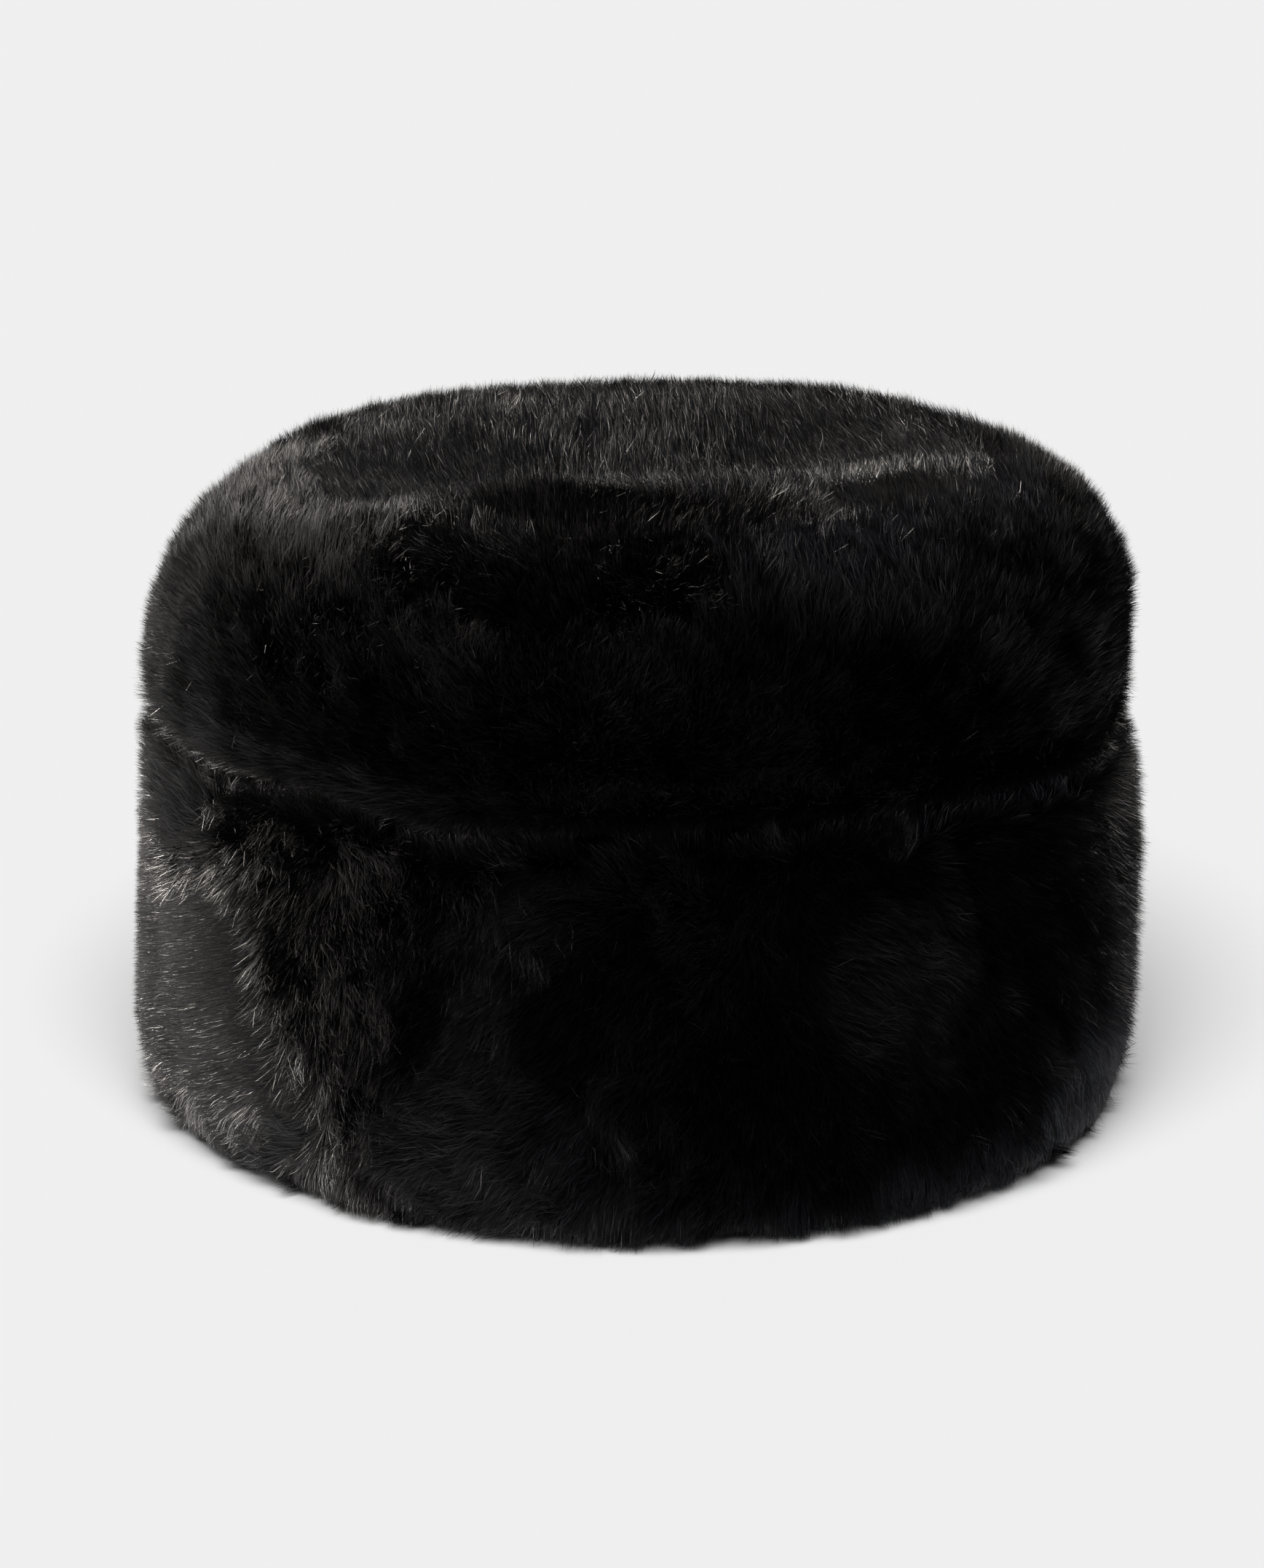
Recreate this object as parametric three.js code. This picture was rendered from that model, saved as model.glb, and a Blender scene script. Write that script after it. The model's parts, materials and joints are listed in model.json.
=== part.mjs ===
// A faux-fur hat with a soft, sunken crown and a deep turned-up cuff. Millimetres, +Z up.
// It stands on the lower fold of its cuff, with the origin under its middle and its front towards -Y.
// The pile shows as strips of pointed locks, each strip one body with the cloth that it grows from.
import * as THREE from "three";

// Driving sizes
const hatWidth = 240; // across the cuff, over the fur
const hatDepth = 248; // front to back, over the fur
const hatHeight = 155; // from the fold to the top of the shoulder
const cuffHeight = 92; // from the fold to the top of the rim
const cuffWall = 17; // pile and cloth of the cuff together
const crownWall = 12; // pile and cloth of the crown where the cuff presses on it
const foldThickness = 4; // cloth under the lower edge of the crown
const seamGap = 0.4; // between neighbouring pieces

// Fur
const locksRound = 40; // locks in one strip
const columns = 2 * locksRound; // a tip and a valley for each lock
const lockRelief = 4.2; // from the tip of a lock down to the root of the next strip
const valleyShare = 0.4; // of the relief, between two locks of a strip
const tipRun = 0.36; // how far a tip runs on past its strip, as a share of the strip
const lockFade = 60; // radius of the crown's top inside which the locks flatten out
const furColour = 0x0d0c0d;

const halfWidth = hatWidth / 2;
const depthShare = hatDepth / hatWidth;
const bandInset = cuffWall + seamGap; // outside of the crown, behind the cuff
const mouthInset = bandInset + crownWall; // where the head goes in
const crownRise = hatHeight - cuffHeight;

// Sections from the bottom upwards. Inset is measured in from the widest outline,
// rise is a share of the cuff's height, or of what the crown stands above the cuff.
const cuffSection = [
  { inset: 13.0, rise: 0.0 },
  { inset: 6.4, rise: 0.028 },
  { inset: 2.6, rise: 0.1 },
  { inset: 0.6, rise: 0.24 },
  { inset: 0.0, rise: 0.5 },
  { inset: 0.2, rise: 0.78 },
  { inset: 1.6, rise: 0.9 },
  { inset: 4.6, rise: 0.975 },
  { inset: 9.4, rise: 1.0 },
  { inset: 14.0, rise: 0.985 },
  { inset: cuffWall, rise: 0.93 },
];
const crownSideSection = [
  { inset: bandInset, rise: -0.1 },
  { inset: 15.2, rise: 0.005 },
  { inset: 10.4, rise: 0.025 },
  { inset: 6.0, rise: 0.045 },
  { inset: 3.4, rise: 0.11 },
  { inset: 2.0, rise: 0.28 },
  { inset: 3.0, rise: 0.48 },
  { inset: 7.4, rise: 0.67 },
  { inset: 15.4, rise: 0.83 },
  { inset: 26.0, rise: 0.94 },
  { inset: 37.0, rise: 0.99 },
];
const crownTipSection = [
  { inset: 37.0, rise: 0.99 },
  { inset: 52.0, rise: 1.0 },
  { inset: 75.0, rise: 0.99 },
  { inset: 100.0, rise: 0.975 },
  { inset: halfWidth, rise: 0.97 },
];
const crownSideBack = [
  { inset: 50.0, rise: 0.75 },
  { inset: 39.0, rise: 0.725 },
  { inset: 29.0, rise: 0.65 },
  { inset: 21.5, rise: 0.52 },
  { inset: 18.4, rise: 0.35 },
  { inset: 20.5, rise: 0.17 },
  { inset: 26.5, rise: 0.01 },
  { inset: mouthInset, rise: -0.14 },
];
const crownTipBack = [
  { inset: halfWidth, rise: 0.73 },
  { inset: 85.0, rise: 0.745 },
  { inset: 50.0, rise: 0.75 },
];

// Soft folds of the wall: a bump at an angle round the hat and a height, with its reach each way,
// moved out (or in) and up (or down).
const wallFolds = [
  { name: "left shoulder slope", angle: 200, spread: 42, height: 146, reach: 26, out: -2.2, lift: -4 },
  { name: "back left shoulder", angle: 135, spread: 24, height: 146, reach: 26, out: 2.2, lift: 2 },
  { name: "right shoulder", angle: 30, spread: 34, height: 148, reach: 22, out: 3, lift: 2.4 },
  { name: "right hollow above the cuff", angle: 352, spread: 30, height: 110, reach: 16, out: -2.4, lift: 0 },
  { name: "right foot", angle: 330, spread: 22, height: 10, reach: 22, out: 1.6, lift: 0 },
  { name: "left foot", angle: 190, spread: 36, height: 14, reach: 34, out: 3, lift: 0 },
  { name: "front foot", angle: 264, spread: 10, height: 6, reach: 14, out: 2, lift: 0 },
  { name: "left end of the rim", angle: 178, spread: 22, height: 92, reach: 16, out: 1.6, lift: 2.4 },
  { name: "tuft on the rim", angle: 230, spread: 9, height: 92, reach: 14, out: 0.6, lift: 3.4 },
  { name: "dip beside the tuft", angle: 247, spread: 9, height: 92, reach: 14, out: -0.6, lift: -3 },
  { name: "swell of the rim", angle: 286, spread: 18, height: 92, reach: 16, out: 0.4, lift: 2 },
  { name: "right dip of the rim", angle: 337, spread: 15, height: 92, reach: 16, out: -0.6, lift: -4.4 },
];

// Dents and ridges of the crown's top: an oval patch at x, y, turned, with its reach along and across.
const tipFolds = [
  { name: "sunken middle", x: -6, y: 14, along: 66, across: 42, turn: 12, lift: -11 },
  { name: "front ridge", x: -8, y: -42, along: 62, across: 15, turn: 26, lift: 6 },
  { name: "crease behind the ridge", x: -34, y: -20, along: 46, across: 14, turn: 24, lift: -5 },
  { name: "back right swell", x: 34, y: 62, along: 46, across: 26, turn: -18, lift: 3 },
];

const radians = THREE.MathUtils.degToRad;
const bell = (distance, reach) => Math.exp(-((distance / reach) ** 2));

function cuffPoint({ inset, rise }) {
  return new THREE.Vector2(halfWidth - inset, rise * cuffHeight);
}

function crownPoint({ inset, rise }) {
  return new THREE.Vector2(halfWidth - inset, cuffHeight + rise * crownRise);
}

// A repeatable number from -1 to 1 for each lock, so that no two locks are quite alike.
function lockVariation(strip, lock) {
  const wave = Math.sin(strip * 127.1 + lock * 311.7) * 43758.5453;
  return 2 * (wave - Math.floor(wave)) - 1;
}

// The rows of a section's furry side. Each strip hangs from its root to tips that lie over the strip below.
function furRows(curve, strips, from, to) {
  const step = (to - from) / strips;
  const rows = [];
  for (let strip = 0; strip < strips; strip++) {
    const lower = from + strip * step;
    rows.push({ curve, at: lower, run: Math.min(tipRun * step, 0.6 * lower), strip });
    rows.push({ curve, at: lower + step, sunk: strip < strips - 1 ? lockRelief : 0 });
  }
  return rows;
}

// The rows of a bare side, which has no locks.
function bareRows(points) {
  return points.map((point) => ({ point }));
}

// One row's place in the section at a column round the hat.
function sectionPoint(row, column) {
  if (row.point) return row.point.clone();
  const fur = row.strip !== undefined;
  const lock = (column + (row.strip ?? 0)) % columns;
  const isTip = lock % 2 === 0;
  const change = fur ? lockVariation(row.strip, lock >> 1) : 0;
  const full = THREE.MathUtils.smoothstep(row.curve.getPointAt(row.at).x, 8, lockFade);
  const run = fur && isTip ? row.run * (1 + 0.3 * change) * full : 0;
  const at = THREE.MathUtils.clamp(row.at - run, 0, 1);
  const place = row.curve.getPointAt(at);
  const along = row.curve.getTangentAt(at);
  const inward = new THREE.Vector2(-along.y, along.x);
  const tipSunk = isTip ? 0.35 * (1 + change) : valleyShare * lockRelief;
  return place.addScaledVector(inward, (fur ? tipSunk : row.sunk) * full);
}

// How far the folds move a place on the wall or the top.
function foldShift(x, y, height) {
  const angle = Math.atan2(y, x);
  const shift = { out: 0, lift: 0 };
  const fromAxis = Math.hypot(x, y / depthShare) / halfWidth;
  for (const fold of wallFolds) {
    const turn = Math.abs(angle - radians(fold.angle)) % (2 * Math.PI);
    const away = THREE.MathUtils.radToDeg(Math.min(turn, 2 * Math.PI - turn));
    const share = bell(away, fold.spread) * bell(height - fold.height, fold.reach) * fromAxis ** 2;
    shift.out += fold.out * share;
    shift.lift += fold.lift * share;
  }
  const onTop = THREE.MathUtils.smoothstep(height, cuffHeight + 0.35 * crownRise, cuffHeight + 0.75 * crownRise);
  for (const fold of tipFolds) {
    const turn = radians(fold.turn);
    const dx = x - fold.x;
    const dy = y - fold.y;
    const along = dx * Math.cos(turn) + dy * Math.sin(turn);
    const across = dy * Math.cos(turn) - dx * Math.sin(turn);
    shift.lift += fold.lift * bell(along, fold.along) * bell(across, fold.across) * onTop;
  }
  return shift;
}

// Turns a section about the hat's axis, then gives each vertex its lock, the oval plan and the folds.
function wallGeometry(rows) {
  const profile = rows.map((row) => sectionPoint(row, 0));
  const geometry = new THREE.LatheGeometry(profile, columns);
  const position = geometry.getAttribute("position");
  for (let index = 0; index < position.count; index++) {
    const column = Math.floor(index / rows.length) % columns;
    const angle = (column / columns) * 2 * Math.PI;
    const section = sectionPoint(rows[index % rows.length], column);
    const onAxis = section.x < 1e-6;
    const x = onAxis ? 0 : section.x * Math.cos(angle);
    const y = onAxis ? 0 : section.x * depthShare * Math.sin(angle);
    const { out, lift } = foldShift(x, y, section.y);
    const grown = onAxis ? 1 : (section.x + out) / section.x;
    const standing = section.y > foldThickness ? section.y + lift : section.y;
    position.setXYZ(index, x * grown, y * grown, standing);
  }
  geometry.deleteAttribute("normal");
  geometry.deleteAttribute("uv");
  return geometry;
}

function piece(name, rows) {
  const geometry = wallGeometry(rows);
  geometry.computeVertexNormals();
  const fur = new THREE.MeshStandardMaterial({ color: furColour, roughness: 0.85, metalness: 0 });
  const mesh = new THREE.Mesh(geometry, fur);
  mesh.name = name;
  return mesh;
}

// The cuff: furry outside, a rounded rim, a bare back, and the fold that goes under the crown's edge.
function makeCuff() {
  const outside = new THREE.SplineCurve(cuffSection.map(cuffPoint));
  const back = halfWidth - cuffWall;
  const mouth = halfWidth - mouthInset;
  const foldRound = foldThickness / 3;
  const rows = [
    ...bareRows([cuffPoint(cuffSection[0])]),
    ...furRows(outside, 6, 0.06, 0.86),
    ...bareRows([
      ...cuffSection.slice(-2).map(cuffPoint),
      new THREE.Vector2(back, cuffHeight / 2),
      new THREE.Vector2(back, foldThickness),
      new THREE.Vector2(mouth, foldThickness),
      new THREE.Vector2(mouth, foldRound),
      new THREE.Vector2(mouth + foldRound, 0),
      cuffPoint(cuffSection[0]),
    ]),
  ];
  return piece("cuff", rows);
}

// The crown's side band: bare behind the cuff, then furry over the shoulder up to the tip's seam.
function makeCrownSide() {
  const outside = new THREE.SplineCurve(crownSideSection.map(crownPoint));
  const lowest = foldThickness + seamGap;
  const rows = [
    ...bareRows([
      new THREE.Vector2(halfWidth - bandInset, lowest),
      new THREE.Vector2(halfWidth - bandInset, cuffHeight / 2),
      ...crownSideSection.slice(0, 3).map(crownPoint),
    ]),
    ...furRows(outside, 5, 0.22, 1),
    ...bareRows([
      ...crownSideBack.map(crownPoint),
      new THREE.Vector2(halfWidth - mouthInset, cuffHeight / 2),
      new THREE.Vector2(halfWidth - mouthInset, lowest),
      new THREE.Vector2(halfWidth - bandInset, lowest),
    ]),
  ];
  return piece("crown_side", rows);
}

// The crown's tip: an oval panel that sags between the shoulders.
function makeCrownTip() {
  const outside = new THREE.SplineCurve(crownTipSection.map(crownPoint));
  const back = crownTipBack.map(crownPoint);
  back.at(-1).x -= seamGap;
  const rows = [
    ...bareRows(back),
    ...furRows(outside, 5, 0.04, 0.93),
    ...bareRows([outside.getPointAt(1)]),
  ];
  return piece("crown_tip", rows);
}

const hat = new THREE.Group();
hat.name = "faux_fur_hat";
hat.add(makeCuff(), makeCrownSide(), makeCrownTip());

// The folds pull the outline a little to one side, so the hat is set back over the origin.
const outline = new THREE.Box3().setFromObject(hat);
const middle = outline.getCenter(new THREE.Vector3());
hat.position.set(-middle.x, -middle.y, -outline.min.z);
hat.updateMatrixWorld(true);

export default hat;
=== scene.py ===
import json
import math

import bmesh
import bpy
import numpy as np
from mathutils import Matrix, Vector

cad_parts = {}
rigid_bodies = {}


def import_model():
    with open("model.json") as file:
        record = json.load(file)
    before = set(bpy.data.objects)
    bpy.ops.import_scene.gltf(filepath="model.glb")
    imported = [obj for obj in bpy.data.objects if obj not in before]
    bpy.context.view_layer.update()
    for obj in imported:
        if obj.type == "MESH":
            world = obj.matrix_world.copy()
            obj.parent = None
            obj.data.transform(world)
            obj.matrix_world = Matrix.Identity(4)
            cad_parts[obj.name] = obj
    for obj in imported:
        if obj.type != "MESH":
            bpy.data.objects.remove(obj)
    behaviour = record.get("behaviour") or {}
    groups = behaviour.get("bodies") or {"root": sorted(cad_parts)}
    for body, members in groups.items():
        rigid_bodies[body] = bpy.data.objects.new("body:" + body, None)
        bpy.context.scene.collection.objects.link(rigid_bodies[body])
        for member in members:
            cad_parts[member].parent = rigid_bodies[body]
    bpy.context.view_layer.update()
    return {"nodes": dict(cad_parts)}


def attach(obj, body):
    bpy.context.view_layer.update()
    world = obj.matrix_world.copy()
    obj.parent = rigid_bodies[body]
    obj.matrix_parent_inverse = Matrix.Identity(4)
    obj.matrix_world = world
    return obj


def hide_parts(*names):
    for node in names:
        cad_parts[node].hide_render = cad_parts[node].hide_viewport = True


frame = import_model()
mm = 0.001
scene = bpy.context.scene
print("frame loaded:", sorted(frame["nodes"]))


# camera and stage

photoView = {
    "imageWidth": 1736,
    "focalPixels": 6075,
    "distance": 1.06,  # metres
    "elevation": 16.0,  # degrees above level
    "aim": (-0.0013, 0.0, 0.0725),
}


def makeCamera(view):
    lens = bpy.data.cameras.new("photoCamera")
    lens.sensor_fit = "HORIZONTAL"
    lens.sensor_width = 36.0
    lens.lens = lens.sensor_width * view["focalPixels"] / view["imageWidth"]
    camera = bpy.data.objects.new("photoCamera", lens)
    rise = math.radians(view["elevation"])
    back = Vector((0, -math.cos(rise), math.sin(rise))) * view["distance"]
    camera.location = Vector(view["aim"]) + back
    camera.rotation_euler = (math.pi / 2 - rise, 0, 0)
    scene.collection.objects.link(camera)
    scene.camera = camera


makeCamera(photoView)
scene.view_settings.view_transform = "Standard"


# shared helpers

def hexColour(code):
    parts = [int(code[i:i + 2], 16) / 255 for i in (1, 3, 5)]
    linear = [p / 12.92 if p <= 0.04045 else ((p + 0.055) / 1.055) ** 2.4 for p in parts]
    return (*linear, 1.0)


def addNode(tree, kind, settings=None, inputs=None, links=None):
    node = tree.nodes.new(kind)
    for key, value in (settings or {}).items():
        setattr(node, key, value)
    for key, value in (inputs or {}).items():
        node.inputs[key].default_value = value
    for key, source in (links or {}).items():
        tree.links.new(source, node.inputs[key])
    return node


def setRamp(node, stops):
    ramp = node.color_ramp
    while len(ramp.elements) > len(stops):
        ramp.elements.remove(ramp.elements[-1])
    while len(ramp.elements) < len(stops):
        ramp.elements.new(1.0)
    for element, (place, colour) in zip(ramp.elements, stops):
        element.position = place
        element.color = colour


def newMaterial(name):
    material = bpy.data.materials.new(name)
    material.use_nodes = True
    material.node_tree.nodes.clear()
    return material, material.node_tree


# the hat's form, in millimetres, as the solids have it

hatForm = {
    "halfWidth": 120.0,
    "depthShare": 248 / 240,
    "cuffHeight": 92.0,
    "crownRise": 63.0,
    "foldThickness": 4.0,
    "mouthInset": 29.4,
    "bandInset": 17.4,
    "seamGap": 0.4,
    "tipFoldsFrom": 0.35,  # shares of the crown's rise where the tip's folds begin and are whole
    "tipFoldsWhole": 0.75,
    "shift": (0.87, -0.05),  # brings the outline's middle over the origin
}

wallFolds = [  # angle, spread, height, reach, out, lift
    (200, 42, 146, 26, -2.2, -4.0),  # left shoulder slope
    (135, 24, 146, 26, 2.2, 2.0),  # back left shoulder
    (30, 34, 148, 22, 3.0, 2.4),  # right shoulder
    (352, 30, 110, 16, -2.4, 0.0),  # right hollow above the cuff
    (330, 22, 10, 22, 1.6, 0.0),  # right foot
    (190, 36, 14, 34, 3.0, 0.0),  # left foot
    (264, 10, 6, 14, 2.0, 0.0),  # front foot
    (178, 22, 92, 16, 1.6, 2.4),  # left end of the rim
    (230, 9, 92, 14, 0.6, 3.4),  # tuft on the rim
    (247, 9, 92, 14, -0.6, -3.0),  # dip beside the tuft
    (286, 18, 92, 16, 0.4, 2.0),  # swell of the rim
    (337, 15, 92, 16, -0.6, -4.4),  # right dip of the rim
]

tipFolds = [  # x, y, along, across, turn, lift
    (-6, 14, 66, 42, 12, -11),  # sunken middle
    (-8, -42, 62, 15, 26, 6),  # front ridge
    (-34, -20, 46, 14, 24, -5),  # crease behind the ridge
    (34, 62, 46, 26, -18, 3),  # back right swell
]


def bell(distance, reach):
    return np.exp(-((distance / reach) ** 2))


def settle(points):
    # oval plan and soft folds for points of a plain round hat, then metres
    x = points[:, 0]
    y = points[:, 1] * hatForm["depthShare"]
    z = points[:, 2]
    angle = np.degrees(np.arctan2(y, x))
    radius = np.hypot(points[:, 0], points[:, 1])
    fromAxis = (radius / hatForm["halfWidth"]) ** 2
    out = np.zeros(len(points))
    lift = np.zeros(len(points))
    for at, spread, height, reach, push, raiseBy in wallFolds:
        away = np.abs((angle - at + 180) % 360 - 180)
        share = bell(away, spread) * bell(z - height, reach) * fromAxis
        out += push * share
        lift += raiseBy * share
    low = hatForm["cuffHeight"] + hatForm["tipFoldsFrom"] * hatForm["crownRise"]
    high = hatForm["cuffHeight"] + hatForm["tipFoldsWhole"] * hatForm["crownRise"]
    part = np.clip((z - low) / (high - low), 0, 1)
    onTop = part * part * (3 - 2 * part)
    for px, py, along, across, turn, raiseBy in tipFolds:
        c = math.cos(math.radians(turn))
        s = math.sin(math.radians(turn))
        lengthwise = (x - px) * c + (y - py) * s
        crosswise = (y - py) * c - (x - px) * s
        share = bell(lengthwise, along) * bell(crosswise, across)
        lift += raiseBy * share * onTop
    grown = 1 + out / np.maximum(radius, 1e-6)
    lift = np.where(z > hatForm["foldThickness"], lift, 0)
    shiftX, shiftY = hatForm["shift"]
    placed = np.stack([x * grown + shiftX, y * grown + shiftY, z + lift], 1)
    return placed * mm


def cuffPoint(inset, rise, pile=0.0, edge=0.0, over=0.0):
    return (hatForm["halfWidth"] - inset, rise * hatForm["cuffHeight"], pile, edge, over)


def crownPoint(inset, rise, pile=0.0, edge=0.0, over=0.0):
    height = hatForm["cuffHeight"] + rise * hatForm["crownRise"]
    return (hatForm["halfWidth"] - inset, height, pile, edge, over)


def splineThrough(rows, count):
    rows = np.array(rows, float)
    padded = np.vstack([rows[:1], rows, rows[-1:]])
    place = np.linspace(0, len(rows) - 1, count)
    first = np.minimum(place.astype(int), len(rows) - 2)
    t = (place - first)[:, None]
    p0, p1, p2, p3 = (padded[first + k] for k in range(4))
    bend = 2 * p0 - 5 * p1 + 4 * p2 - p3
    return 0.5 * (2 * p1 + (p2 - p0) * t + bend * t ** 2 + (3 * p1 - p0 - 3 * p2 + p3) * t ** 3)


def outwardOf(curve):
    along = np.gradient(curve[:, :2], axis=0)
    along /= np.maximum(np.linalg.norm(along, axis=1, keepdims=True), 1e-9)
    return along, np.stack([along[:, 1], -along[:, 0]], 1)


# materials

furColours = {
    "root": "#040404", "middle": "#0b0a0b", "tip": "#1e1b1a",
    "coolTint": "#5d6172", "warmTint": "#ffffff",
}
guardFinish = {"roughness": 0.4, "specular": 0.76}
downFinish = {"roughness": 0.59, "specular": 0.3}


def makeFurMaterial(name, colours, finish):
    # modacrylic fibre: near black, browner and clearer to the tip, each hair of its own depth
    material, tree = newMaterial(name)
    uv = addNode(tree, "ShaderNodeUVMap", {"uv_map": "OFBake"})
    split = addNode(tree, "ShaderNodeSeparateXYZ", links={0: uv.outputs[0]})
    length = addNode(tree, "ShaderNodeValToRGB", links={0: split.outputs[1]})
    stops = [(0.0, colours["root"]), (0.5, colours["middle"]), (1.0, colours["tip"])]
    setRamp(length, [(place, hexColour(code)) for place, code in stops])
    tint = addNode(tree, "ShaderNodeValToRGB", links={0: split.outputs[0]})
    cool, warm = hexColour(colours["coolTint"]), hexColour(colours["warmTint"])
    setRamp(tint, [(0.0, cool), (0.49, warm), (0.51, cool), (1.0, warm)])  # guard left, down right
    colour = addNode(tree, "ShaderNodeMix", {"data_type": "RGBA", "blend_type": "MULTIPLY"},
                     {0: 1.0}, {6: length.outputs[0], 7: tint.outputs[0]})
    shine = {"Roughness": finish["roughness"], "IOR": 1.54,
             "Specular IOR Level": finish["specular"]}
    shader = addNode(tree, "ShaderNodeBsdfPrincipled", inputs=shine,
                     links={"Base Color": colour.outputs[2]})
    addNode(tree, "ShaderNodeOutputMaterial", links={0: shader.outputs[0]})
    return material


undercoatFinish = {
    "deep": "#020202", "pale": "#0a0909", "clump": 2.5,  # mm
    "bump": 0.6, "depth": 0.0012,  # metres
}


def makeUndercoatMaterial(finish):
    # short crimped underfur: matt, almost no light comes back out of it
    material, tree = newMaterial("crimpedUndercoat")
    coords = addNode(tree, "ShaderNodeTexCoord")
    noise = addNode(tree, "ShaderNodeTexNoise",
                    inputs={"Scale": 1 / (finish["clump"] * mm), "Detail": 3.0},
                    links={"Vector": coords.outputs["Object"]})
    ramp = addNode(tree, "ShaderNodeValToRGB", links={0: noise.outputs[0]})
    setRamp(ramp, [(0.3, hexColour(finish["deep"])), (0.8, hexColour(finish["pale"]))])
    bump = addNode(tree, "ShaderNodeBump",
                   inputs={"Strength": finish["bump"], "Distance": finish["depth"]},
                   links={"Height": noise.outputs[0]})
    shader = addNode(tree, "ShaderNodeBsdfPrincipled",
                     inputs={"Roughness": 0.95, "Specular IOR Level": 0.1},
                     links={"Base Color": ramp.outputs[0], "Normal": bump.outputs[0]})
    addNode(tree, "ShaderNodeOutputMaterial", links={0: shader.outputs[0]})
    return material


knitFinish = {
    "thread": "#1c1a1b", "gap": "#0a0909",
    "wale": 1.6,  # mm between the ribs
    "course": 0.8,  # a loop's height, as a share of that
    "bump": 0.5, "depth": 0.0006,  # metres
}


def makeKnitMaterial(finish):
    # warp-knit polyester back of the fur cloth: fine upright ribs, matt, a little fuzzy
    material, tree = newMaterial("warpKnitBacking")
    uv = addNode(tree, "ShaderNodeUVMap", {"uv_map": "clothMap"})

    def waves(direction, spacing, distortion):
        looks = {"wave_type": "BANDS", "bands_direction": direction, "wave_profile": "SIN"}
        scale = 1 / (spacing * mm) / 20 * 2 * math.pi  # a band is 2 pi / 20 wide at scale 1
        return addNode(tree, "ShaderNodeTexWave", looks,
                       {"Scale": scale, "Distortion": distortion, "Detail": 1.0},
                       {"Vector": uv.outputs[0]})

    ribs = waves("X", finish["wale"], 0.6)
    loops = waves("Y", finish["wale"] * finish["course"], 0.8)
    height = addNode(tree, "ShaderNodeMath", {"operation": "MULTIPLY_ADD"}, {1: 0.35},
                     {0: loops.outputs[1], 2: ribs.outputs[1]})
    ramp = addNode(tree, "ShaderNodeValToRGB", links={0: height.outputs[0]})
    setRamp(ramp, [(0.1, hexColour(finish["gap"])), (1.0, hexColour(finish["thread"]))])
    bump = addNode(tree, "ShaderNodeBump",
                   inputs={"Strength": finish["bump"], "Distance": finish["depth"]},
                   links={"Height": height.outputs[0]})
    shader = addNode(tree, "ShaderNodeBsdfPrincipled",
                     inputs={"Roughness": 0.9, "Specular IOR Level": 0.2, "Sheen Weight": 0.15},
                     links={"Base Color": ramp.outputs[0], "Normal": bump.outputs[0]})
    addNode(tree, "ShaderNodeOutputMaterial", links={0: shader.outputs[0]})
    return material


guardMaterial = makeFurMaterial("modacrylicGuardHair", furColours, guardFinish)  # long, soft shine
downMaterial = makeFurMaterial("modacrylicDown", furColours, downFinish)  # finer, duller
undercoatMaterial = makeUndercoatMaterial(undercoatFinish)
knitMaterial = makeKnitMaterial(knitFinish)
print("materials made")


# cloth under the fur

clothMesh = {"rows": 48, "steps": 120, "mapRadius": 0.1}  # metres


def makeCloth(name, node, furRows, backRows):
    curve = splineThrough(furRows, clothMesh["rows"])
    outward = outwardOf(curve)[1]
    furSide = curve[:, :2] - outward * curve[:, 2:3]
    furSide[:, 0] = np.maximum(furSide[:, 0], 0)
    profile = [tuple(p) for p in furSide] + [p[:2] for p in backRows]
    isRing = profile[0][0] > 1e-6 and profile[-1][0] > 1e-6
    bm = bmesh.new()
    verts = [bm.verts.new((r, 0, z)) for r, z in profile]
    pairs = list(zip(verts, verts[1:])) + ([(verts[-1], verts[0])] if isRing else [])
    edges = [bm.edges.new(pair) for pair in pairs]
    bmesh.ops.spin(bm, geom=verts + edges, axis=(0, 0, 1), cent=(0, 0, 0), angle=2 * math.pi,
                   steps=clothMesh["steps"], use_merge=True)
    bmesh.ops.remove_doubles(bm, verts=bm.verts, dist=1e-4)
    bmesh.ops.recalc_face_normals(bm, faces=bm.faces)
    bm.normal_update()
    cloth = bm.loops.layers.uv.new("clothMap")
    for face in bm.faces:
        middle = face.calc_center_median()
        radial = Vector((middle.x, middle.y, 0)).normalized()
        facesIn = face.normal.dot(radial) < -0.05
        facesDown = face.normal.z < -0.5 and middle.z > hatForm["foldThickness"] + 1
        face.material_index = 1 if facesIn or facesDown else 0
        face.smooth = True
        turn = math.atan2(middle.y, middle.x)
        for loop in face.loops:  # round the hat and up or across it, in metres
            x, y, z = loop.vert.co
            around = (math.atan2(y, x) - turn + math.pi) % (2 * math.pi) - math.pi + turn
            loop[cloth].uv = (around * clothMesh["mapRadius"], (z - math.hypot(x, y)) * mm)
    places = settle(np.array([v.co for v in bm.verts]))
    for vert, place in zip(bm.verts, places):
        vert.co = place
    mesh = bpy.data.meshes.new(name)
    bm.to_mesh(mesh)
    bm.free()
    mesh.materials.append(undercoatMaterial)
    mesh.materials.append(knitMaterial)
    piece = bpy.data.objects.new(name, mesh)
    scene.collection.objects.link(piece)
    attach(piece, "root")
    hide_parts(node)
    print("cloth:", name, len(mesh.polygons), "faces")


# fur

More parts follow.
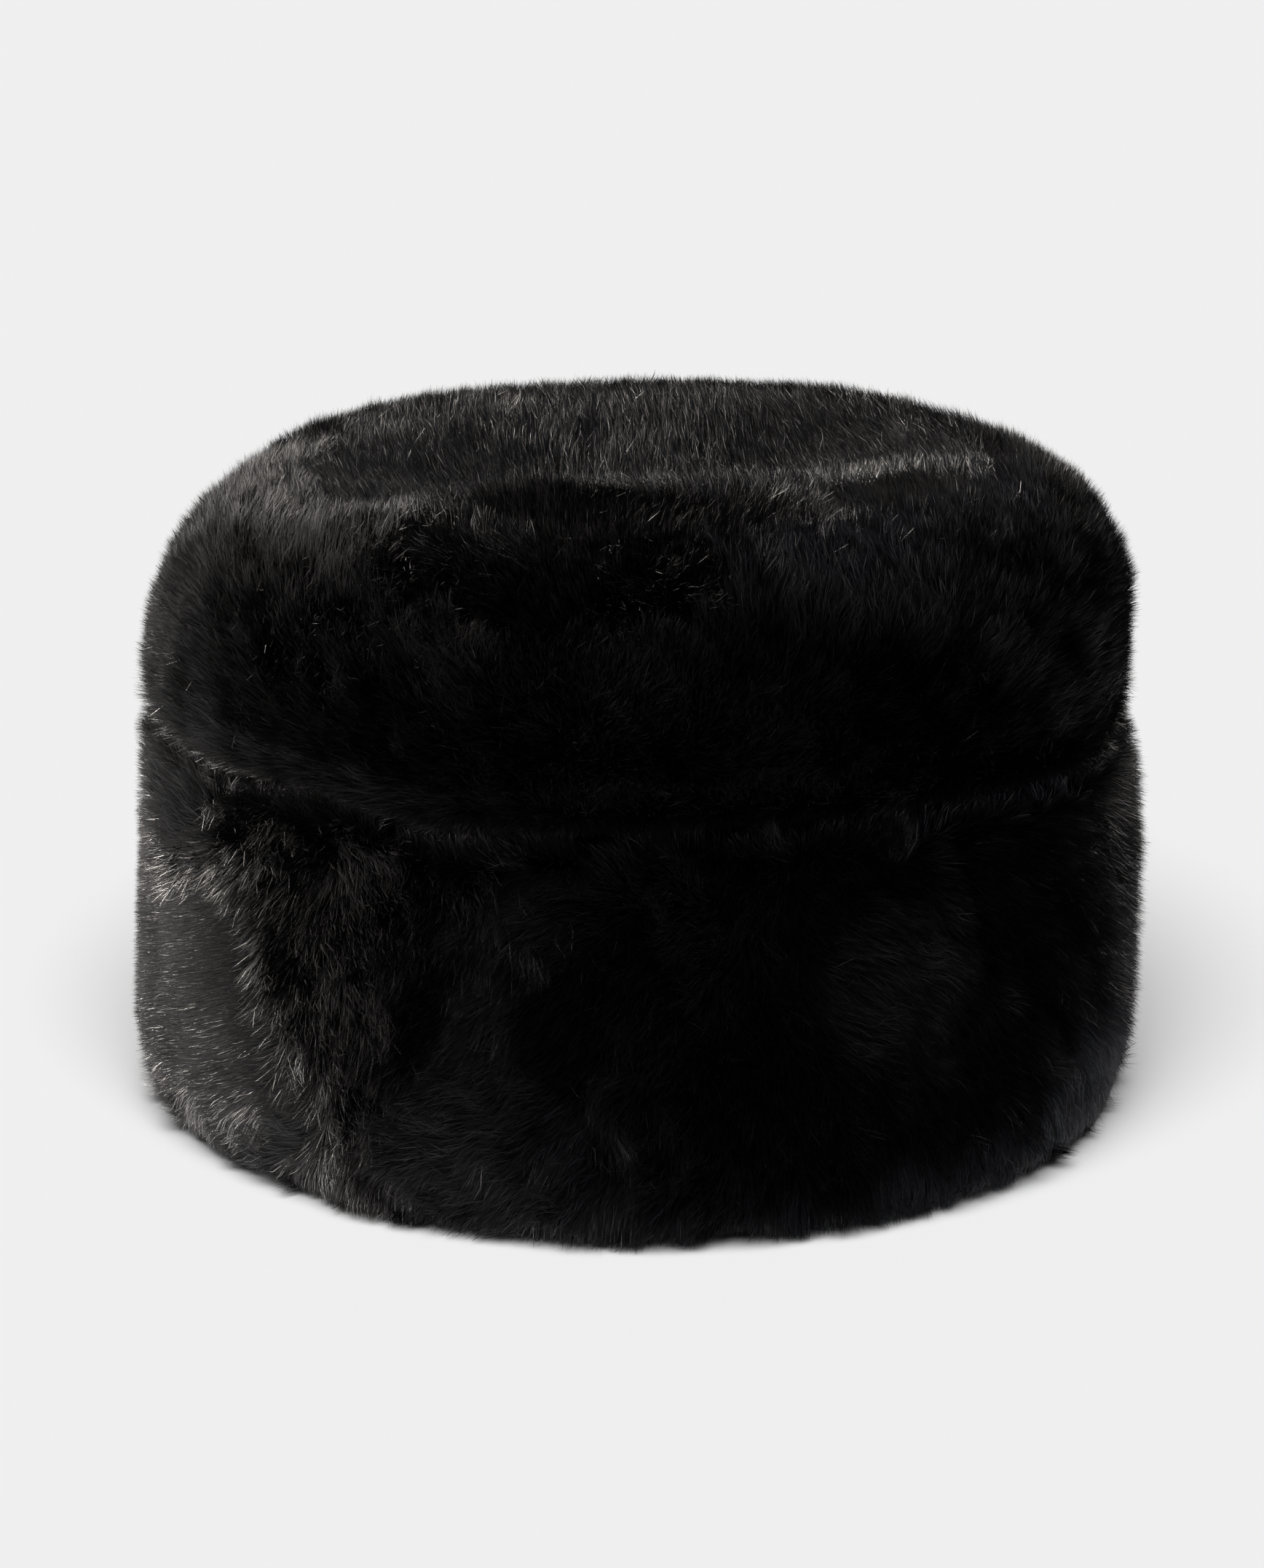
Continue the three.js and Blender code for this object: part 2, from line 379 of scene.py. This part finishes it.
def drift(points, size, seed, waves=12):
    # smooth random field about 1 strong, with swells of the given size in millimetres
    rng = np.random.default_rng(seed)
    ways = rng.normal(size=(waves, 3))
    ways /= np.linalg.norm(ways, axis=1, keepdims=True)
    ways *= (2 * math.pi / size) * rng.uniform(0.6, 1.4, (waves, 1))
    phases = rng.uniform(0, 2 * math.pi, waves)
    return np.sin(points @ ways.T + phases).sum(1) / math.sqrt(waves / 2)


def combAt(rows, angle):
    # nap round the hat from a short table that closes on itself: across, down, lean
    table = np.array(rows, float)
    closed = np.vstack([table[-1] - [360, 0, 0], table, table[0] + [360, 0, 0]])
    heading = np.radians(closed[:, 1])
    parts = (np.sin(heading), np.cos(heading), closed[:, 2])
    return [np.interp(angle % 360, closed[:, 0], part) for part in parts]


swells = {  # size in mm and seed of each random field
    "patchEdge": (10, 21), "swirl": (64, 11), "ruffle": (12, 12), "lean": (42, 13),
    "fineLean": (12, 14), "tuft": (15, 23), "reach": (20, 15), "fineReach": (5, 19),
    "over": (18, 22), "lockRow": (9, 16), "lockColumn": (9, 17), "tint": (30, 18),
}

hairForm = {
    "rows": 800,  # steps along the profile
    "waywardFrom": 0.93, "wayward": 2.5,  # hairs past this share lie their own way
    "edgeMost": 0.9, "edgeLean": 30,  # degrees more where an edge stands or hangs
    "leanLeast": 4, "leanMost": 72,  # degrees
    "longFrom": 0.9, "longer": 1.3,  # hairs past this share add up to so many mm
    "firstBend": 0.75, "secondBend": 1.25, "bendMost": 1.4,  # radians
    "shortest": 1.5,  # mm
    "floorGap": 0.3, "floorSpread": 2.2,  # mm above the floor where ends stop
    "roll": 0.6, "rounding": 55,  # radians, degrees
    "guardWidth": 1.3, "taper": 0.85,
    "mapHalf": 0.003,
}


def unit(vectors, least):
    return vectors / np.maximum(np.linalg.norm(vectors, axis=1, keepdims=True), least)


def growFur(name, furRows, comb, angles, seed):
    rng = np.random.default_rng(seed)
    guard = comb["guardHairs"]
    count = guard + comb["fineHairs"]
    curve = splineThrough(furRows, hairForm["rows"])
    along, outward = outwardOf(curve)
    steps = np.linalg.norm(np.diff(curve[:, :2], axis=0), axis=1)
    run = np.concatenate([[0], np.cumsum(steps)])
    area = np.concatenate([[0], np.cumsum(np.diff(run) * np.maximum(curve[1:, 0], 1.0))])
    order = rng.permutation((np.arange(count) + rng.random(count)) / count)
    place = np.interp(order * area[-1], area, run)  # even over the cloth
    degrees = angles[0] + (angles[1] - angles[0]) * rng.random(count)
    turn = np.radians(degrees)

    def at(values):
        return np.interp(place, run, values)

    def field(which):
        return drift(surface, *swells[which])

    eR = np.stack([np.cos(turn), np.sin(turn), np.zeros(count)], 1)
    eA = np.stack([-np.sin(turn), np.cos(turn), np.zeros(count)], 1)
    eZ = np.array([0, 0, 1.0])
    normal = at(outward[:, 0])[:, None] * eR + at(outward[:, 1])[:, None] * eZ
    down = -(at(along[:, 0])[:, None] * eR + at(along[:, 1])[:, None] * eZ)
    pile = at(curve[:, 2])
    surface = at(curve[:, 0])[:, None] * eR + at(curve[:, 1])[:, None] * eZ
    root = surface - normal * pile[:, None]

    # which way the nap lies, and how flat
    across, downward, lean = combAt(comb["nap"], degrees)
    loose = np.ones(count)
    level = at(curve[:, 0 if comb["patchesBy"] == "radius" else 1])
    for patchAngle, patchLevel, wide, high, patchHeading, patchLean, calm in comb["patches"]:
        aside = ((degrees - patchAngle + 180) % 360 - 180) * math.pi / 180 * at(curve[:, 0])
        away = (aside / wide) ** 2 + ((level - patchLevel) / high) ** 2
        share = np.clip(1.4 * (1 - away) + 0.5 + 0.3 * field("patchEdge"), 0, 1)
        across = across + share * (math.sin(math.radians(patchHeading)) - across)
        downward = downward + share * (math.cos(math.radians(patchHeading)) - downward)
        lean = lean + share * (patchLean - lean)
        loose = loose * (1 - calm * share)
    freedom = 0.3 + 0.7 * loose  # of a single hair
    heading = np.degrees(np.arctan2(across, downward))
    heading = heading + loose * (comb["swirl"] * field("swirl") + comb["ruffle"] * field("ruffle"))
    wayward = rng.random(count) > hairForm["waywardFrom"]
    stray = comb["stray"] * freedom * np.where(wayward, 1 + hairForm["wayward"] * loose, 1)
    heading = np.radians(heading + stray * rng.normal(size=count))
    lean = lean + loose * comb["leanDrift"] * (field("lean") + 0.6 * field("fineLean"))
    edge = at(curve[:, 3]) * (1 + comb["tuft"] * field("tuft"))  # tufts that stand or hang
    edge = np.clip(edge, -hairForm["edgeMost"], hairForm["edgeMost"])
    lean = lean + hairForm["edgeLean"] * np.abs(edge) + 0.7 * stray * rng.normal(size=count)
    lean = np.radians(np.clip(lean, hairForm["leanLeast"], hairForm["leanMost"]))
    uneven = 0.05 * field("reach") + 0.1 * field("fineReach")
    reach = pile * (1 + uneven + rng.normal(0, 0.08, count))
    reach = reach + at(curve[:, 4]) * (1 + 0.8 * field("over"))
    isLong = rng.random(count) > hairForm["longFrom"]
    reach = reach + np.where(isLong, hairForm["longer"] * rng.random(count), 0)
    first = np.minimum(hairForm["firstBend"] * lean, hairForm["bendMost"])[:, None]
    second = np.minimum(hairForm["secondBend"] * lean, hairForm["bendMost"])[:, None]
    length = 2 * reach[:, None] / (np.cos(first) + np.cos(second))
    length = np.clip(length, hairForm["shortest"], comb["longest"])
    edge = edge[:, None]

    def wayOf(turned):
        lying = down * np.cos(turned)[:, None] + eA * np.sin(turned)[:, None]
        return unit(lying * (1 - np.abs(edge)) - down * edge, 1e-6)

    curl = np.radians(comb["curl"]) * freedom * rng.normal(size=count)
    startWay, endWay = wayOf(heading - curl), wayOf(heading + curl)
    bend = root + 0.5 * length * (normal * np.cos(first) + startWay * np.sin(first))
    tip = bend + 0.5 * length * (normal * np.cos(second) + endWay * np.sin(second))

    # locks: the ends of neighbouring hairs draw together
    wide = comb["lockSize"]
    rowAt = place / wide + 0.35 * field("lockRow")
    row = np.floor(rowAt)
    girth = 2 * math.pi * np.interp(row * wide, run, curve[:, 0])
    columns = np.maximum(np.round(girth / wide), 3)
    columnAt = turn / (2 * math.pi) * columns + 0.5 * (row % 2) + 0.35 * field("lockColumn")
    column = np.floor(columnAt)
    mix = np.sin(row * 127.1 + column * 311.7) * 43758.5453  # a fixed number for each lock
    pull = comb["lock"] * (0.3 + 0.7 * (mix - np.floor(mix)))[:, None]
    lockAlong = (row + 0.5 - rowAt)[:, None] * wide * -down
    lockAcross = (column + 0.5 - columnAt)[:, None] * wide * eA
    toMiddle = lockAlong + lockAcross
    bend = bend + 0.35 * pull * toMiddle
    tip = tip + pull * toMiddle

    root, bend, tip = settle(root), settle(bend), settle(tip)
    for points in (root, bend, tip):  # ends that would pass the floor stop a little above it
        floorStop = hairForm["floorGap"] + hairForm["floorSpread"] * rng.random(count) ** 2
        points[:, 2] = np.maximum(points[:, 2], floorStop * mm)

    # a hair is a thin blade, rounded by its normals: guard hairs bend, fine hairs are straight
    lower = np.where(np.arange(count)[:, None] < guard, bend - root, tip - root)
    face = normal - lower * (np.sum(normal * lower, 1) / np.sum(lower * lower, 1))[:, None]
    face = unit(face, 1e-9)
    side = unit(np.cross(lower, face), 1e-12)
    roll = (hairForm["roll"] * freedom * rng.normal(size=count))[:, None]
    side, face = (side * np.cos(roll) + face * np.sin(roll),
                  face * np.cos(roll) - side * np.sin(roll))
    half = 0.5 * comb["thickness"] * mm * rng.uniform(0.75, 1.25, count)[:, None]
    half[:guard] *= hairForm["guardWidth"]
    rounding = math.radians(hairForm["rounding"])
    leftNormal = face * math.cos(rounding) - side * math.sin(rounding)
    rightNormal = face * math.cos(rounding) + side * math.sin(rounding)
    left, right = root - side * half, root + side * half
    narrow = half * hairForm["taper"]
    bendLeft, bendRight = bend - side * narrow, bend + side * narrow
    tint = np.clip(rng.random(count) + 0.1 * field("tint"), 0.04, 0.96) / 2
    tint[guard:] += 0.5

    g = slice(0, guard)
    f = slice(guard, count)

    def joined(guardParts, fineParts):
        return np.vstack([np.stack([part[g] for part in guardParts], 1).reshape(-1, 3),
                          np.stack([part[f] for part in fineParts], 1).reshape(-1, 3)])

    corners = joined([left, right, bendLeft, bendRight, tip], [left, right, tip])
    normals = joined([leftNormal, rightNormal, leftNormal, rightNormal, face],
                     [leftNormal, rightNormal, face])
    fine = count - guard
    guardLoops = np.array([0, 1, 3, 2, 2, 3, 4]) + 5 * np.arange(guard)[:, None]
    loops = np.concatenate([guardLoops.ravel(), np.arange(3 * fine) + 5 * guard])
    guardStarts = np.array([0, 4]) + 7 * np.arange(guard)[:, None]
    starts = np.concatenate([guardStarts.ravel(), 7 * guard + 3 * np.arange(fine)])
    guardAcross = tint[g, None] + np.array([-1, 1, 1, -1, -1, 1, 0]) * hairForm["mapHalf"]
    fineAcross = tint[f, None] + np.array([-1, 1, 0]) * hairForm["mapHalf"]
    mapAcross = np.concatenate([guardAcross.ravel(), fineAcross.ravel()])
    mapAlong = np.concatenate([np.tile([0, 0, 0.5, 0.5, 0.5, 0.5, 1.0], guard),
                               np.tile([0, 0, 1.0], fine)])
    hairMap = np.stack([mapAcross, mapAlong], 1)

    mesh = bpy.data.meshes.new(name)
    mesh.vertices.add(len(corners))
    mesh.vertices.foreach_set("co", corners.astype(np.float32).ravel())
    mesh.loops.add(len(loops))
    mesh.loops.foreach_set("vertex_index", loops.astype(np.int32))
    mesh.polygons.add(len(starts))
    mesh.polygons.foreach_set("loop_start", starts.astype(np.int32))
    bakeMap = mesh.uv_layers.new(name="OFBake")
    bakeMap.data.foreach_set("uv", hairMap.astype(np.float32).ravel())
    mesh.update(calc_edges=True)
    mesh.polygons.foreach_set("use_smooth", np.ones(len(starts), bool))
    rounded = mesh.attributes.new("custom_normal", "FLOAT_VECTOR", "POINT")
    rounded.data.foreach_set("vector", normals.astype(np.float32).ravel())
    isFine = np.arange(len(starts)) >= 2 * guard
    mesh.polygons.foreach_set("material_index", isFine.astype(np.int32))
    mesh.materials.append(guardMaterial)
    mesh.materials.append(downMaterial)
    piece = bpy.data.objects.new(name, mesh)
    scene.collection.objects.link(piece)
    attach(piece, "root")
    print("fur:", name, count, "hairs")


# the cuff

mouth, band = hatForm["mouthInset"], hatForm["bandInset"]
fold = hatForm["foldThickness"] / hatForm["cuffHeight"]
bandFoot = (hatForm["foldThickness"] + hatForm["seamGap"]) / hatForm["cuffHeight"]

cuffFur = [  # inset, rise, pile, edge (1 stands up, -1 hangs down), how far past the form
    cuffPoint(28.6, 0.0, 1.4), cuffPoint(21.0, 0.0, 1.8), cuffPoint(13.0, 0.0, 2.4, -0.6),
    cuffPoint(6.4, 0.028, 3.8, -0.5, 2.2), cuffPoint(2.6, 0.1, 5.2, -0.35, 1.4),
    cuffPoint(0.6, 0.24, 6.0, -0.1), cuffPoint(0.0, 0.5, 6.2), cuffPoint(0.2, 0.78, 6.2),
    cuffPoint(1.6, 0.9, 6.2), cuffPoint(4.6, 0.975, 6.0, -0.2, 0.5),
    cuffPoint(9.4, 1.0, 5.4, -0.5, 1.0), cuffPoint(14.0, 0.985, 3.8, -0.5, 1.0),
    cuffPoint(17.0, 0.93, 2.0),
]
cuffBack = [
    cuffPoint(17.0, 0.5), cuffPoint(17.0, fold), cuffPoint(mouth, fold), cuffPoint(mouth, fold / 2),
]
cuffComb = {
    "nap": [  # angle, heading (0 down, 90 to the right seen from outside), lean
        (0, 10, 36), (60, -20, 38), (110, 15, 38), (150, -35, 42), (225, 60, 36), (238, 65, 34),
        (247, 0, 22), (255, -55, 44), (268, -55, 34), (281, -40, 16), (300, 0, 20), (335, 5, 28),
    ],
    "patches": [  # angle, height, half width, half height, heading, lean, calm
        (198, 82, 34, 15, -150, 36, 0.3),  # dark top of the left side
        (188, 18, 74, 64, -72, 44, 0.9),  # pale smooth left side
        (212, 48, 24, 26, -72, 56, 0.9),  # its middle edge
        (219, 16, 27, 26, -72, 60, 0.9),  # its low edge
        (252, 42, 18, 18, -48, 54, 0.3),  # swirl left of the front
        (250, 18, 26, 12, -52, 57, 0.3),  # low front
        (246, 51, 7, 13, 0, 8, 0),  # dark pit in the swirl
        (261, 52, 9, 15, -55, 18, 0.8),  # dark edge of the swirl
        (236, 92, 9, 9, 45, 48, 0.3),  # tuft on the rim
        (298, 60, 19, 20, 25, 40, 0.3),  # grey patch on the right
        (300, 90, 6, 6, 180, 46, 0),  # tuft above it
        (308, 12, 22, 9, 0, 40, 0.3),  # low right
        (336, 12, 34, 16, 0, 66, 0.5),  # right foot lies flat
    ],
    "patchesBy": "height", "swirl": 22, "ruffle": 26, "stray": 15, "curl": 16, "leanDrift": 8,
    "longest": 9.0, "tuft": 1.5, "lockSize": 2.8, "lock": 0.25, "thickness": 0.25,
    "guardHairs": 22000, "fineHairs": 130000,
}
makeCloth("cuffCloth", "cuff", cuffFur, cuffBack)
growFur("cuffFurFront", cuffFur, cuffComb, (180, 360), 1)
growFur("cuffFurBack", cuffFur, cuffComb, (0, 180), 2)


# the crown's side

sideFur = [
    crownPoint(band, -0.1, 1.2), crownPoint(15.2, 0.005, 2.0), crownPoint(10.4, 0.025, 3.2),
    crownPoint(6.0, 0.045, 4.4), crownPoint(3.4, 0.11, 5.6), crownPoint(2.0, 0.28, 6.2),
    crownPoint(3.0, 0.48, 6.2), crownPoint(7.4, 0.67, 6.2), crownPoint(15.4, 0.83, 6.2),
    crownPoint(26.0, 0.94, 6.0), crownPoint(37.0, 0.99, 5.6),
]
sideBack = [
    crownPoint(50.0, 0.75), crownPoint(39.0, 0.725), crownPoint(29.0, 0.65),
    crownPoint(21.5, 0.52), crownPoint(18.4, 0.35), crownPoint(20.5, 0.17),
    crownPoint(26.5, 0.01), crownPoint(mouth, -0.14), cuffPoint(mouth, 0.5),
    cuffPoint(mouth, bandFoot), cuffPoint(band, bandFoot), cuffPoint(band, 0.5),
]
sideComb = {
    "nap": [
        (0, 180, 34), (60, 170, 38), (120, 190, 38), (165, 230, 42), (188, 235, 44), (203, 205, 40),
        (218, 165, 34), (240, 180, 26), (270, 180, 18), (300, 185, 24), (330, 190, 30),
    ],
    "patches": [
        (259, 149, 50, 12, 0, 22, 0),  # dark front of the ridge
        (298, 145, 32, 12, 185, 40, 0.2),  # right shoulder
        (265, 95, 200, 8, 222, 48, 0.3),  # roll over the cuff's rim
        (212, 141, 22, 11, 185, 26, 0),  # left shoulder
    ],
    "patchesBy": "height", "swirl": 20, "ruffle": 22, "stray": 15, "curl": 14, "leanDrift": 8,
    "longest": 9.0, "tuft": 1.5, "lockSize": 2.8, "lock": 0.25, "thickness": 0.25,
    "guardHairs": 22000, "fineHairs": 126000,
}
makeCloth("crownSideCloth", "crown_side", sideFur, sideBack)
growFur("crownSideFurFront", sideFur, sideComb, (180, 360), 3)
growFur("crownSideFurBack", sideFur, sideComb, (0, 180), 4)


# the crown's tip

tipFur = [
    crownPoint(37.0, 0.99, 5.6), crownPoint(52.0, 1.0, 6.0), crownPoint(75.0, 0.99, 6.2),
    crownPoint(100.0, 0.975, 6.2), crownPoint(120.0, 0.97, 6.2),
]
tipBack = [crownPoint(120.0, 0.73), crownPoint(85.0, 0.745), crownPoint(50.4, 0.75)]
tipComb = {
    "nap": [
        (0, 110, 46), (45, 65, 46), (90, 20, 46), (135, -25, 46), (180, -70, 46),
        (225, -115, 46), (270, -160, 46), (315, -205, 46),
    ],
    "patches": [  # by distance from the middle in place of height
        (271, 66, 45, 22, 0, 26, 0),  # dark front of the ridge
        (326, 72, 24, 15, -107, 22, 0.2),  # right shoulder
    ],
    "patchesBy": "radius", "swirl": 14, "ruffle": 8, "stray": 13, "curl": 12, "leanDrift": 4,
    "longest": 9.0, "tuft": 1.5, "lockSize": 2.8, "lock": 0.22, "thickness": 0.25,
    "guardHairs": 16000, "fineHairs": 80000,
}
makeCloth("crownTipCloth", "crown_tip", tipFur, tipBack)
growFur("crownTipFur", tipFur, tipComb, (0, 360), 5)


# floor and studio light

floorFinish = {"paper": "#f2f2f2", "size": 8.0}


def makeFloor(finish):
    # seamless background paper: matt and pale
    material, tree = newMaterial("backgroundPaper")
    matt = {"Base Color": hexColour(finish["paper"]), "Roughness": 0.95, "Specular IOR Level": 0.0}
    shader = addNode(tree, "ShaderNodeBsdfPrincipled", inputs=matt)
    addNode(tree, "ShaderNodeOutputMaterial", links={0: shader.outputs[0]})
    bm = bmesh.new()
    bmesh.ops.create_grid(bm, x_segments=1, y_segments=1, size=finish["size"] / 2)
    mesh = bpy.data.meshes.new("paperFloor")
    bm.to_mesh(mesh)
    bm.free()
    mesh.materials.append(material)
    floor = bpy.data.objects.new("paperFloor", mesh)
    scene.collection.objects.link(floor)
    return floor


floor = makeFloor(floorFinish)
floorOnly = bpy.data.collections.new("floorOnly")
floorOnly.objects.link(floor)
hatOnly = bpy.data.collections.new("hatOnly")
for item in scene.objects:
    if item.type == "MESH" and item is not floor:
        hatOnly.objects.link(item)

softboxes = [  # name, place, aim, width, height, watts, colour
    ("backLeftSoftbox", (-1.0, 1.0, 0.85), (0, 0, 0.1), 1.0, 0.6, 108, "#fff8f0"),
    ("leftSoftbox", (-1.4, 0.0, 0.32), (0, 0, 0.07), 0.8, 0.6, 25, "#fff6f4"),
    ("frontLeftFill", (-1.3, -0.6, 0.35), (0, 0, 0.05), 0.8, 0.6, 2, "#fff8f4"),
    ("backSoftbox", (0.2, 1.4, 0.8), (0, 0, 0.12), 1.3, 0.6, 30, "#fffaf4"),
    ("rightFill", (1.3, -0.5, 0.5), (0, 0, 0.06), 0.8, 0.8, 3, "#d0d8ff"),
]
paperSun = {"strength": 3.46, "angle": 42, "tilt": (30, -3)}  # from the front: shadow falls behind
studioAir = {"fill": "#ffffff", "fillStrength": 0.022, "seen": "#f0f0f0"}


def makeLights(boxes, sun, air):
    for name, place, aim, width, height, watts, colour in boxes:
        lamp = bpy.data.lights.new(name, "AREA")
        lamp.shape = "RECTANGLE"
        lamp.size = width
        lamp.size_y = height
        lamp.energy = watts
        lamp.color = hexColour(colour)[:3]
        box = bpy.data.objects.new(name, lamp)
        box.location = place
        box.rotation_euler = (Vector(aim) - Vector(place)).to_track_quat("-Z", "Y").to_euler()
        scene.collection.objects.link(box)
        box.light_linking.receiver_collection = hatOnly
    sky = bpy.data.lights.new("paperLight", "SUN")
    sky.energy = sun["strength"]
    sky.angle = math.radians(sun["angle"])
    lamp = bpy.data.objects.new("paperLight", sky)
    lamp.rotation_euler = (math.radians(sun["tilt"][0]), math.radians(sun["tilt"][1]), 0)
    scene.collection.objects.link(lamp)
    lamp.light_linking.receiver_collection = floorOnly
    world = bpy.data.worlds.new("studioWorld")
    scene.world = world
    world.use_nodes = True
    tree = world.node_tree
    tree.nodes.clear()
    path = addNode(tree, "ShaderNodeLightPath")
    fill = addNode(tree, "ShaderNodeBackground",
                   inputs={"Color": hexColour(air["fill"]), "Strength": air["fillStrength"]})
    seen = addNode(tree, "ShaderNodeBackground",
                   inputs={"Color": hexColour(air["seen"]), "Strength": 1.0})
    both = addNode(tree, "ShaderNodeMixShader",
                   links={0: path.outputs["Is Camera Ray"], 1: fill.outputs[0], 2: seen.outputs[0]})
    addNode(tree, "ShaderNodeOutputWorld", links={0: both.outputs[0]})


makeLights(softboxes, paperSun, studioAir)
print("studio lit")
